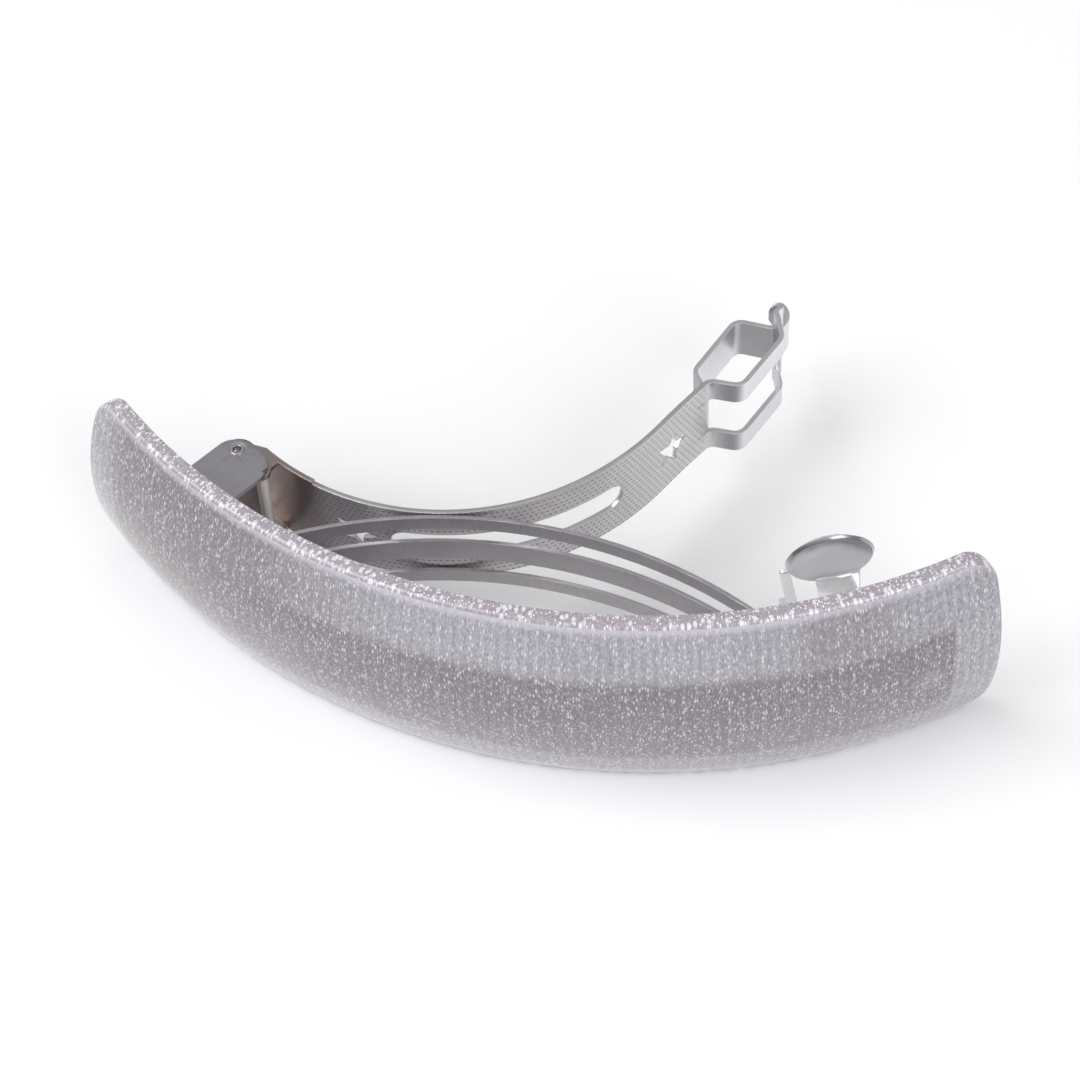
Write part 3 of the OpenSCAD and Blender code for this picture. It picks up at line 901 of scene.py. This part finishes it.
def soften(bm: BMesh, width: float, angle_deg: float = 40.0) -> None:
    """Rounds every edge that is sharper than an angle.

    Args:
        bm: The mesh.
        width: The bevel's width in metres.
        angle_deg: The sharpest angle that stays.
    """
    limit = math.radians(angle_deg)
    edges = [e for e in bm.edges if len(e.link_faces) == 2 and e.calc_face_angle(0.0) > limit]
    bmesh.ops.bevel(
        bm, geom=edges, offset=width, offset_type="OFFSET", segments=2, profile=0.5,
        affect="EDGES", clamp_overlap=False, material=-1, loop_slide=False,
    )


# ---- the bar ----


@dataclass
class Bend:
    """The bar's double curve: a bend along its length and a crown across its width.

    Attributes:
        bend_r: Radius of the bend on the outer crown.
        crown_r: Radius of the crown.
        crown_y: Where the outer crown's lowest point lies in Y.
        mid_z: Height of the bar's middle.
    """

    bend_r: float = 67.5 * MM
    crown_r: float = 28.0 * MM
    crown_y: float = 0.0
    mid_z: float = 0.0

    def point(self, s: float, w: float, d: float) -> Vector:
        """Finds a point of the curved laminate.

        Args:
            s: Length along the bend.
            w: Distance from the middle of the width.
            d: Depth below the outer surface.

        Returns:
            The point.
        """
        angle = s / self.bend_r
        out = self.bend_r - self.crown_r + math.sqrt((self.crown_r - d) ** 2 - w * w)
        return Vector((
            out * math.sin(angle),
            self.crown_y + self.bend_r - out * math.cos(angle),
            self.mid_z + w,
        ))


@dataclass
class BarSheet:
    """One layer of the bar.

    Attributes:
        name: The piece's name.
        node: The CAD node that it stands for.
        slot: The record's material slot; not used.
        bend: The bar's curve.
        depth: Depths of its outer and inner surface.
        rim: Which rim is polished round.
        materials: Its broad faces' material and its edge's.
        length: Length along the bend.
        width: Width of the bar.
        corner_r: Radius of the corners.
        rim_r: Radius of the polished rim.
        corner_steps: Segments of a corner.
        columns: Faces along the length.
        rows: Faces across the width.
    """

    name: str
    node: str
    slot: str
    bend: Bend
    depth: tuple[float, float]
    rim: Rim
    materials: list[Material]
    length: float = 100.0 * MM
    width: float = 25.0 * MM
    corner_r: float = 3.0 * MM
    rim_r: float = 0.32 * MM
    corner_steps: int = 10
    columns: int = 110
    rows: int = 28

    def flat_slab(self) -> BMesh:
        """Builds the layer flat: length in X, width in Y and depth in Z.

        Returns:
            The slab, with rounded corners.
        """
        bm = bmesh.new()
        bmesh.ops.create_grid(bm, x_segments=1, y_segments=1, size=1.0)
        for vert in bm.verts:
            vert.co = Vector((
                math.copysign(self.length / 2, vert.co.x),
                math.copysign(self.width / 2, vert.co.y),
                self.depth[0],
            ))
        bmesh.ops.bevel(
            bm, geom=bm.verts[:], offset=self.corner_r, offset_type="OFFSET", segments=self.corner_steps,
            profile=0.5, affect="VERTICES", clamp_overlap=True, material=-1,
        )
        skin = bmesh.ops.extrude_face_region(bm, geom=bm.faces[:])
        deep = [v for v in skin["geom"] if isinstance(v, BMVert)]
        bmesh.ops.translate(bm, verts=deep, vec=(0.0, 0.0, self.depth[1] - self.depth[0]))
        bmesh.ops.recalc_face_normals(bm, faces=bm.faces)
        return bm

    def round_rim(self, bm: BMesh) -> None:
        """Rounds the polished rim and gives the edge its own material.

        Args:
            bm: The flat slab.
        """
        for face in bm.faces:
            face.material_index = 0 if abs(face.normal.z) > 0.5 else 1
        if self.rim is Rim.NONE:
            return
        level = self.depth[0] if self.rim is Rim.OUTER else self.depth[1]
        edges = [
            e for e in bm.edges
            if e.calc_face_angle(0.0) > 1.0 and all(abs(v.co.z - level) < 0.01 * MM for v in e.verts)
        ]
        bmesh.ops.bevel(
            bm, geom=edges, offset=self.rim_r, offset_type="OFFSET", segments=4, profile=0.5,
            affect="EDGES", clamp_overlap=False, material=1, loop_slide=True,
        )

    def slice_grid(self, bm: BMesh) -> None:
        """Cuts the slab into small faces, so that it can be bent both ways.

        Args:
            bm: The flat slab.
        """
        cuts = [(Vector((1.0, 0.0, 0.0)), self.length, self.columns)]
        cuts.append((Vector((0.0, 1.0, 0.0)), self.width, self.rows))
        for across, size, count in cuts:
            for i in range(1, count):
                bmesh.ops.bisect_plane(
                    bm, geom=bm.verts[:] + bm.edges[:] + bm.faces[:], dist=CUT_GAP,
                    plane_co=across * (size * (i / count - 0.5)), plane_no=across,
                )

    def map_millimetres(self, bm: BMesh) -> None:
        """Writes the UV map: length and width on the faces, length and depth on the edge.

        Args:
            bm: The flat slab.
        """
        layer = bm.loops.layers.uv.new("sheet_mm")
        for face in bm.faces:
            on_edge = face.material_index == 1
            end_face = abs(face.normal.x) > 0.7
            for loop in face.loops:
                s, w, d = (value / MM for value in loop.vert.co)
                run = w if end_face else s
                loop[layer].uv = (run, d) if on_edge else (s, w)

    def build(self) -> Object:
        """Builds the finished piece.

        Returns:
            The piece, riding on the bar.
        """
        bm = self.flat_slab()
        self.round_rim(bm)
        self.slice_grid(bm)
        self.map_millimetres(bm)
        for vert in bm.verts:
            vert.co = self.bend.point(*vert.co)
        bmesh.ops.recalc_face_normals(bm, faces=bm.faces)
        piece = add_piece(self.name, bm, self.materials)
        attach(piece, BAR_BODY)
        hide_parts(self.node)
        log.info("%s stands for %s", self.name, self.node)
        return piece


@dataclass
class GlitterBar:
    """The laminate of two acetate sheets with a glitter fabric between them.

    Attributes:
        weave: The glitter weave group.
        face_t: Thickness of the face sheet.
        fabric_t: Thickness of the fabric.
        back_t: Thickness of the back sheet.
    """

    weave: NodeTree
    face_t: float = 0.6 * MM
    fabric_t: float = 0.2 * MM
    back_t: float = 0.6 * MM

    def build(self) -> None:
        """Builds the three layers and the adhesive behind them."""
        low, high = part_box("bar_face_sheet")
        bend = Bend(crown_y=low[1], mid_z=(low[2] + high[2]) / 2)
        edge = AcetateEdge("acetate_edge").make()
        face = GlitterUnderAcetate("acetate_over_glitter", self.weave).make()
        fabric = GlitterUnderAcetate("glitter_fabric", self.weave, coat=0.0).make()
        back = GlitterUnderAcetate("acetate_hair_side", self.weave, from_behind=True).make()
        inner = self.face_t + self.fabric_t
        depths = ((0.0, self.face_t), (self.face_t, inner), (inner, inner + self.back_t))
        layers = (
            ("acetate_face", "bar_face_sheet", "clear_acetate", depths[0], Rim.OUTER, face),
            ("fabric_inlay", "bar_glitter_fabric", "glitter_fabric", depths[1], Rim.NONE, fabric),
            ("acetate_back", "bar_back_sheet", "clear_acetate", depths[2], Rim.INNER, back),
        )
        for name, node, slot, depth, rim, finish in layers:
            BarSheet(name, node, slot, bend, depth, rim, [finish, edge]).build()
        paint(frame["nodes"]["adhesive_bed"], CuredAdhesive("cured_adhesive").make())


# ---- the clasp ----


def paint(node: Object, material: Material) -> None:
    """Gives a CAD node's object one material.

    Args:
        node: The object.
        material: Its new material.
    """
    node.data.materials.clear()
    node.data.materials.append(material)


@dataclass
class SteelPart:
    """A stamped steel part whose edges are softened.

    Attributes:
        name: The piece's name.
        node: The CAD node that it stands for.
        body: The body that it rides on.
        slot: The record's material slot; not used.
        finish: Its finish.
        edge: How its edges are softened.
    """

    name: str
    node: str
    body: str
    slot: str
    finish: Material
    edge: Sharpness = Sharpness.STAMPED

    def build(self) -> Object:
        """Builds the finished piece.

        Returns:
            The piece.
        """
        bm = welded_copy(self.node)
        soften(bm, self.edge.value)
        piece = add_piece(self.name, bm, [self.finish])
        keep_flats_flat(piece)
        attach(piece, self.body)
        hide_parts(self.node)
        log.info("%s stands for %s", self.name, self.node)
        return piece


@dataclass
class BowSpring:
    """The three-railed bow spring, cut into two halves at its crest.

    Attributes:
        finish: Its finish.
        crest_x: Where the two halves meet.
        foot_x: How far from the crest each half would start to move; not used.
        hinge_reach: Length at the hinge's foot over which the spring would come to follow the arm; not
            used.
    """

    finish: Material
    crest_x: float = 0.7 * MM
    foot_x: float = 29.0 * MM
    hinge_reach: float = 10.0 * MM

    def half(self, side: int) -> Object:
        """Builds one half.

        Args:
            side: -1 for the hinge's half, 1 for the catch's.

        Returns:
            The piece.
        """
        bm = welded_copy("bow_spring")
        soften(bm, Sharpness.STAMPED.value)
        cut = bmesh.ops.bisect_plane(
            bm, geom=bm.verts[:] + bm.edges[:] + bm.faces[:], dist=CUT_GAP,
            plane_co=(self.crest_x, 0.0, 0.0), plane_no=(-side, 0.0, 0.0), clear_outer=True,
        )
        rim = [e for e in cut["geom_cut"] if isinstance(e, BMEdge)]
        bmesh.ops.holes_fill(bm, edges=rim, sides=0)
        name = "bow_spring_hinge_half" if side < 0 else "bow_spring_catch_half"
        piece = add_piece(name, bm, [self.finish])
        keep_flats_flat(piece)
        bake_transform(piece)
        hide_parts("bow_spring")
        log.info("%s stands for bow_spring", name)
        return piece

    def build(self) -> None:
        """Builds both halves."""
        for side in (-1, 1):
            self.half(side)


@dataclass
class CatchWing:
    """One side of the catch: a hooked prong and a neck that flows into a finger dish.

    Heights and lengths are measured from the wing's root, along and across its own lean.

    Attributes:
        name: The piece's name.
        node: The CAD node that it stands for.
        body: The body that it rides on.
        finish: Its finish.
        side: 1 for the upper wing, -1 for the lower.
        lean_deg: How far the wing leans from the bar's direction there.
        sheet_t: Thickness of the sheet.
        sheet_w: Distance of the neck from the bar's middle.
        rim_r: Radius of the dish's rim.
        ball_r: Radius of the ball that the dish is a part of.
        rim_at: Middle of the rim, along and up.
        tilt_deg: How far the dish is tilted.
        join_slack: How far past the neck the rim still joins it.
        overlap: How far the dish reaches in over the neck.
        neck: Where the neck starts and ends, along.
        neck_drop: How far under the rim's middle the neck's first row is.
        gather_above: Height above which a row is straightened onto the neck.
        neck_rows: Heights of the neck's further rows.
        foot_h: Height of the foot.
        prong: Outer and inner side of the prong, along.
        prong_rows: Heights of the prong's lower rows.
        prong_h: Height of the prong.
        hook_bend: How far under the top the hook's bend starts.
        hook: How far the hook reaches out.
        hook_drop: How far the hook's tip is below the top.
        rounding: Width of the softened rim.
        steps: Segments around the dish.
        rings: Segments from its middle to its rim.
    """

    name: str
    node: str
    body: str
    finish: Material
    side: float
    lean_deg: float = -8.0
    sheet_t: float = 0.4 * MM
    sheet_w: float = 2.2 * MM
    rim_r: float = 4.2 * MM
    ball_r: float = 6.6 * MM
    rim_at: tuple[float, float] = (-1.25 * MM, 9.1 * MM)
    tilt_deg: float = 8.0
    join_slack: float = 0.35 * MM
    overlap: float = 0.15 * MM
    neck: tuple[float, float] = (-2.45 * MM, 1.5 * MM)
    neck_drop: float = 1.5 * MM
    gather_above: float = 7.0 * MM
    neck_rows: tuple[float, float] = (5.0 * MM, 3.0 * MM)
    foot_h: float = 1.5 * MM
    prong: tuple[float, float] = (-5.65 * MM, -4.65 * MM)
    prong_rows: tuple[float, float] = (4.0 * MM, 7.0 * MM)
    prong_h: float = 11.2 * MM
    hook_bend: float = 0.7 * MM
    hook: float = 0.5 * MM
    hook_drop: float = 0.2 * MM
    rounding: float = 0.06 * MM
    steps: int = 48
    rings: int = 8

    def bowl(self, bm: BMesh) -> None:
        """Spins the finger dish about its own axis and sets it in place.

        Args:
            bm: The mesh, which is empty.
        """
        steepest = math.asin(self.rim_r / self.ball_r)
        drop = math.sqrt(self.ball_r**2 - self.rim_r**2)
        line = [
            bm.verts.new((
                self.ball_r * math.sin(steepest * i / self.rings),
                self.ball_r * math.cos(steepest * i / self.rings) - drop,
                0.0,
            ))
            for i in range(self.rings + 1)
        ]
        edges = [bm.edges.new(pair) for pair in zip(line, line[1:])]
        bmesh.ops.spin(
            bm, geom=line + edges, cent=(0.0, 0.0, 0.0), axis=(0.0, 1.0, 0.0), dvec=(0.0, 0.0, 0.0),
            angle=2 * math.pi, steps=self.steps, use_merge=True, use_duplicate=False,
        )
        bmesh.ops.remove_doubles(bm, verts=bm.verts, dist=0.01 * MM)
        tilt = Matrix.Rotation(math.radians(self.tilt_deg), 4, "X")
        place = Matrix.Translation((*self.rim_at, self.sheet_w + self.rim_r - self.overlap))
        bmesh.ops.transform(bm, matrix=place @ tilt, verts=bm.verts)

    @staticmethod
    def pull(bm: BMesh, edges: list[BMEdge], move: Move) -> list[BMEdge]:
        """Extrudes edges and moves the new points.

        Args:
            bm: The mesh.
            edges: The edges.
            move: Gives a point's new place.

        Returns:
            The new edges.
        """
        made = bmesh.ops.extrude_edge_only(bm, edges=edges)["geom"]
        verts = {g for g in made if isinstance(g, BMVert)}
        for vert in verts:
            vert.co = move(vert.co)
        return [g for g in made if isinstance(g, BMEdge) and set(g.verts) <= verts]

    def onto_neck(self, height: float, left: float, right: float) -> Move:
        """Makes the move that sets a row of the neck at a height.

        Args:
            height: The row's height.
            left: Where the dish's joined edge starts, along.
            right: Where it ends.

        Returns:
            The move.
        """
        low, high = self.neck

        def move(co: Vector) -> Vector:
            """Gives a point's new place."""
            x = co.x
            if height > self.gather_above:
                x = low + (x - left) / (right - left) * (high - low)
            return Vector((x, height, self.sheet_w))

        return move

    def neck_and_prong(self, bm: BMesh) -> None:
        """Draws the neck down from the dish, the foot along it and the prong up from the foot.

        Args:
            bm: The mesh with the dish.
        """
        near = 0.1 * MM
        low, high = self.neck[0] - self.join_slack, self.neck[1] + self.join_slack
        row = [
            e for e in bm.edges
            if e.is_boundary and all(
                low < v.co.x < high and v.co.z < self.sheet_w + self.rim_r for v in e.verts
            )
        ]
        spread = [v.co.x for e in row for v in e.verts]
        for height in (self.rim_at[1] - self.neck_drop, *self.neck_rows, self.foot_h, 0.0):
            row = self.pull(bm, row, self.onto_neck(height, min(spread), max(spread)))
        foot_side = min(
            (
                e for e in bm.edges
                if e.is_boundary and max(v.co.y for v in e.verts) <= self.foot_h + near
                and abs(e.verts[0].co.x - e.verts[1].co.x) < near / 10
            ),
            key=lambda e: e.verts[0].co.x,
        )
        for x in (self.prong[1], self.prong[0]):
            foot_side = self.pull(bm, [foot_side], lambda co, x=x: Vector((x, co.y, co.z)))[0]
        top = next(
            e for e in bm.edges
            if e.is_boundary and all(
                v.co.x < self.prong[1] + near and v.co.y > self.foot_h - near for v in e.verts
            )
        )
        for height in (*self.prong_rows, self.prong_h - self.hook_bend, self.prong_h):
            top = self.pull(bm, [top], lambda co, h=height: Vector((co.x, h, co.z)))[0]
        self.pull(bm, [top], lambda co: Vector((co.x, co.y - self.hook_drop, co.z + self.hook)))

    def build(self) -> Object:
        """Builds the finished piece.

        Returns:
            The piece.
        """
        joint = next(j for j in frame["record"]["behaviour"]["joints"] if j["child"] == self.body)
        root = Vector(joint["pos_m"])
        root.z = MID_Z
        tangent = Vector(joint["axis"]) * -self.side
        bm = bmesh.new()
        self.bowl(bm)
        self.neck_and_prong(bm)
        along = Matrix.Rotation(math.radians(self.lean_deg), 3, "Z") @ tangent
        toward_hair = Matrix.Rotation(math.pi / 2, 3, "Z") @ along
        turn = Matrix((along, toward_hair, Vector((0.0, 0.0, self.side)))).transposed().to_4x4()
        bmesh.ops.transform(bm, matrix=Matrix.Translation(root) @ turn, verts=bm.verts)
        bmesh.ops.recalc_face_normals(bm, faces=bm.faces)
        piece = add_piece(self.name, bm, [self.finish])
        curve = piece.modifiers.new("smooth_sheet", "SUBSURF")
        curve.levels = curve.render_levels = 2
        thick = piece.modifiers.new("sheet_thickness", "SOLIDIFY")
        thick.thickness = self.sheet_t
        thick.offset = 0.0
        rounded = piece.modifiers.new("softened_rim", "BEVEL")
        rounded.width = self.rounding
        rounded.segments = 2
        rounded.limit_method = "ANGLE"
        rounded.angle_limit = math.radians(50.0)
        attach(piece, self.body)
        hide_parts(self.node)
        log.info("%s stands for %s", self.name, self.node)
        return piece


@dataclass
class Clasp:
    """The steel clasp: strip, hinge, arm, spring and catch.

    Attributes:
        grain: The steel grain group.
        arc_start: Where the arm's curve starts, measured from the hinge axis.
        arc_heading_deg: The arm's direction there.
        arc_r: Radius of the arm's curve.
        heel: The arm's rolled heel in X and Y.
        cage_root: Where the arm opens into its cage, in X and Y.
    """

    grain: NodeTree
    arc_start: tuple[float, float] = (2.41 * MM, 1.11 * MM)
    arc_heading_deg: float = -32.5
    arc_r: float = 25.1 * MM
    heel: tuple[float, float] = (-27.8 * MM, 15.27 * MM)
    cage_root: tuple[float, float] = (12.27 * MM, 35.97 * MM)

    def arm_finish(self) -> Material:
        """Makes the dimpled finish, centred on the arm's curve.

        Returns:
            The material.
        """
        hinge = next(j for j in frame["record"]["behaviour"]["joints"] if j["name"] == "arm_hinge")
        turn = math.radians(self.arc_heading_deg + 90.0)
        x = hinge["pos_m"][0] + self.arc_start[0] + self.arc_r * math.cos(turn)
        y = hinge["pos_m"][1] + self.arc_start[1] + self.arc_r * math.sin(turn)
        return DimpledSteel(
            "dimpled_plated_steel", self.grain, tint=(0.70, 0.68, 0.69), roughness=0.32, grain=0.5,
            centre=(x, y), radius=self.arc_r, from_deg=-108.0, to_deg=-8.5,
            heel=self.heel, cage_root=self.cage_root,
        ).make()

    def build(self) -> None:
        """Builds and dresses every part of the clasp."""
        strip = PlatedSteel(
            "plated_strip_steel", self.grain, tint=(0.47, 0.455, 0.48), roughness=0.38, grain=0.2
        ).make()
        spring = PlatedSteel(
            "plated_spring_steel", self.grain, tint=(0.60, 0.575, 0.59), roughness=0.34, grain=0.6
        ).make()
        # The catch's finish has a painted white reflection and painted grey shade.
        bright = SteelWithPaintedReflection(
            "plated_steel_painted_reflection", self.grain, tint=(0.62, 0.61, 0.62), roughness=0.2, grain=0.08,
            bump_mm=0.001, mid_z=MID_Z,
        ).make()
        rivet = PlatedSteel(
            "plated_rivet_steel", self.grain, tint=(0.62, 0.60, 0.60), roughness=0.2, grain=0.15
        ).make()
        arm = self.arm_finish()
        parts = (
            ("strip_with_ears", "base_strip", BAR_BODY, "nickel_steel", strip, Sharpness.STAMPED),
            ("stud_upper", "hinge_stud_upper", BAR_BODY, "rivet_steel", rivet, Sharpness.POLISHED),
            ("stud_lower", "hinge_stud_lower", BAR_BODY, "rivet_steel", rivet, Sharpness.POLISHED),
            ("arm_with_cage", "clamp_arm", ARM_BODY, "knurled_steel", arm, Sharpness.STAMPED),
            ("spring_foot_rivet", "spring_rivet", BAR_BODY, "rivet_steel", rivet, Sharpness.POLISHED),
            ("catch_foot", "catch_saddle", BAR_BODY, "nickel_steel", bright, Sharpness.STAMPED),
            ("eyelet", "catch_eyelet", BAR_BODY, "rivet_steel", rivet, Sharpness.POLISHED),
        )
        for name, node, body, slot, finish, edge in parts:
            SteelPart(name, node, body, slot, finish, edge).build()
        BowSpring(spring).build()
        CatchWing("catch_dish_upper", "catch_wing_upper", "upper_wing", bright, 1.0).build()
        CatchWing("catch_dish_lower", "catch_wing_lower", "lower_wing", bright, -1.0).build()


# ---- studio ----


@dataclass
class Studio:
    """Pale floor, soft lights and the camera.

    Attributes:
        eye: Where the camera is.
        yaw_deg: Its direction, turned from +Y towards +X.
        pitch_deg: How far it looks down.
        roll_deg: How far it is rolled.
        lens: Its focal length in millimetres, on a 36 mm sensor.
        floor_size: Side of the floor.
        softboxes: Name, place, size and power of each light.
        dark_card: Direction of a grey card behind the barrette, which calms the steel's flats.
        air: Strength of the surrounding light.
    """

    eye: tuple[float, float, float] = (0.05592, -0.16617, 0.27602)
    yaw_deg: float = -17.082
    pitch_deg: float = 53.986
    roll_deg: float = -3.574
    lens: float = 111.219
    floor_size: float = 12.0
    softboxes: tuple = (
        ("key_softbox", (-0.45, -0.2, 0.72), 0.6, 3.7),
        ("fill_softbox", (0.55, -0.45, 0.55), 0.5, 2.2),
    )
    dark_card: tuple[float, float, float] = (-0.165, 0.565, 0.808)
    air: float = 0.8

    def camera(self) -> None:
        """Places the camera."""
        yaw, pitch, roll = (math.radians(v) for v in (self.yaw_deg, self.pitch_deg, self.roll_deg))
        level = math.cos(pitch)
        ahead = Vector((math.sin(yaw) * level, math.cos(yaw) * level, -math.sin(pitch)))
        right = Vector((math.cos(yaw), -math.sin(yaw), 0.0))
        above = right.cross(ahead)
        rolled_right = right * math.cos(roll) + above * math.sin(roll)
        rolled_above = above * math.cos(roll) - right * math.sin(roll)
        turn = Matrix((rolled_right, rolled_above, -ahead)).transposed()
        data = bpy.data.cameras.new("studio_camera")
        data.lens = self.lens
        data.sensor_width = 36.0
        camera = bpy.data.objects.new("studio_camera", data)
        camera.matrix_world = Matrix.Translation(self.eye) @ turn.to_4x4()
        bpy.context.scene.collection.objects.link(camera)
        bpy.context.scene.camera = camera

    def floor(self) -> None:
        """Lays the floor under the barrette."""
        bm = bmesh.new()
        bmesh.ops.create_grid(bm, x_segments=1, y_segments=1, size=self.floor_size / 2)
        bmesh.ops.translate(bm, verts=bm.verts, vec=(0.0, 0.0, CAD_BOX[0][2]))
        floor = add_piece("floor", bm, [PaleGround("pale_ground").make()])

    def lights(self) -> None:
        """Adds the softboxes and the surrounding light."""
        for name, place, size, power in self.softboxes:
            data = bpy.data.lights.new(name, "AREA")
            data.shape = "SQUARE"
            data.size = size
            data.energy = power
            light = bpy.data.objects.new(name, data)
            aim = (-Vector(place)).to_track_quat("-Z", "Y").to_matrix().to_4x4()
            light.matrix_world = Matrix.Translation(place) @ aim
            bpy.context.scene.collection.objects.link(light)
        world = bpy.data.worlds.new("studio_air")
        world.use_nodes = True
        nodes = Nodes(world.node_tree)
        direction = nodes.add("ShaderNodeTexCoord").outputs["Generated"]
        height = nodes.smooth(nodes.axes(direction)[2], 0.15, 0.95)
        colour = nodes.mix(height, (0.42, 0.42, 0.44), (1.0, 1.0, 1.02))
        toward = nodes.add("ShaderNodeVectorMath", operation="DOT_PRODUCT")
        nodes.feed(toward.inputs[0], direction)
        toward.inputs[1].default_value = self.dark_card
        card = nodes.times(nodes.smooth(toward.outputs["Value"], 0.8, 0.97), 0.62)
        colour = nodes.mix(card, colour, (0.26, 0.26, 0.27))
        background = world.node_tree.nodes["Background"]
        nodes.feed(background.inputs["Color"], colour)
        background.inputs["Strength"].default_value = self.air
        bpy.context.scene.world = world

    def build(self) -> None:
        """Sets up the whole studio."""
        self.camera()
        self.floor()
        self.lights()
        bpy.context.scene.view_settings.view_transform = "Standard"


def main() -> None:
    """Builds the barrette and the studio."""
    logging.basicConfig(level=logging.INFO, format="%(name)s: %(message)s")
    Studio().build()
    GlitterBar(glitter_weave_group()).build()
    Clasp(steel_grain_group()).build()


if __name__ == "__main__":
    main()
